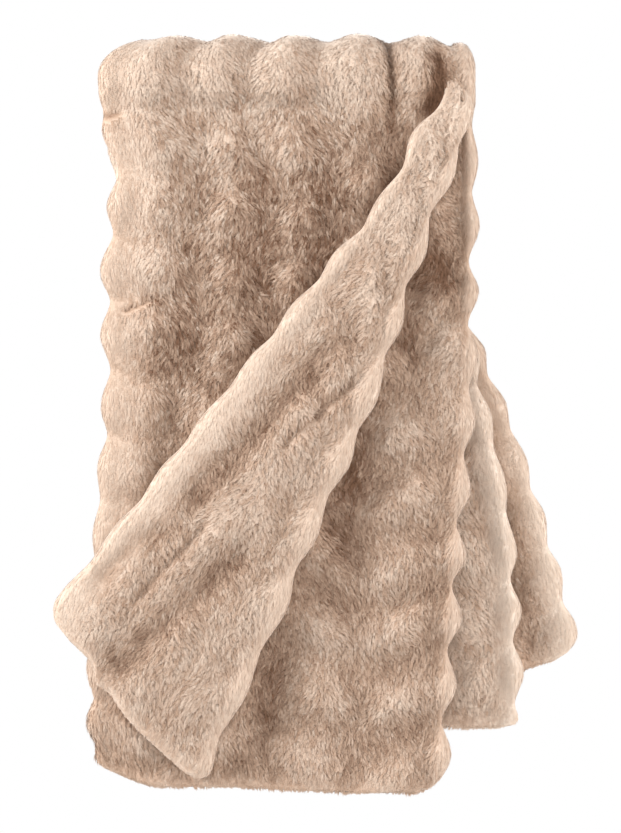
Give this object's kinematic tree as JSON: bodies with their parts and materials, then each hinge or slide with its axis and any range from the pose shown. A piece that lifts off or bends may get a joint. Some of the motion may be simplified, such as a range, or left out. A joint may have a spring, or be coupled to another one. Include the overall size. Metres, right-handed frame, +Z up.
{
  "type": "folded throw blanket",
  "caption": "Plush faux-fur throw with a raised bubble pattern, folded lengthwise and hung over a rail, with a turned front flap and fanned rear layers.",
  "frame": {"origin": "on the axis of the rail that the throw hangs over, at the middle of the folded strip", "axes": "+X along the rail, +Z up, -Y towards the front of the throw"},
  "size_m": [0.5202, 0.13, 0.75],
  "materials": {
    "fur_face": "long soft pile in raised bubbles",
    "reverse_cloth": "short smooth plush",
    "hem_seam": "turned and sewn edge",
    "thread": "polyester sewing thread",
    "label": "woven satin tape, blank"
  },
  "bodies": {
    "rail_fold": {"rail_fold_face_cloth": "fur_face", "rail_fold_reverse_cloth": "reverse_cloth"},
    "front_drape": {"front_drape_face_cloth": "fur_face", "front_drape_reverse_cloth": "reverse_cloth", "front_drape_hem_seam": "hem_seam"},
    "turned_flap": {"turned_flap_face_cloth": "fur_face", "turned_flap_reverse_cloth": "reverse_cloth", "turned_flap_hem_seam": "hem_seam"},
    "rear_drape": {"rear_drape_face_cloth": "fur_face", "rear_drape_reverse_cloth": "reverse_cloth", "rear_drape_hem_seam": "hem_seam", "closing_stitches": "thread", "care_label": "label"},
    "rear_fan": {"rear_fan_face_cloth": "fur_face", "rear_fan_reverse_cloth": "reverse_cloth", "rear_fan_hem_seam": "hem_seam"}
  },
  "joints": [
    {"name": "front_drape_swing", "type": "hinge", "parent": "rail_fold", "child": "front_drape", "pos_m": [0, -0.044, -0.0005], "axis": [-1, 0, 0], "range_deg": [0, 45]},
    {"name": "turned_flap_lift", "type": "hinge", "parent": "front_drape", "child": "turned_flap", "pos_m": [0, -0.0443, -0.008], "axis": [-1, 0, 0], "range_deg": [0, 40]},
    {"name": "rear_drape_swing", "type": "hinge", "parent": "rail_fold", "child": "rear_drape", "pos_m": [0, 0.039, -0.0005], "axis": [1, 0, 0], "range_deg": [0, 45]},
    {"name": "rear_fan_lift", "type": "hinge", "parent": "rear_drape", "child": "rear_fan", "pos_m": [0, 0.0393, -0.008], "axis": [1, 0, 0], "range_deg": [0, 35]}
  ]
}
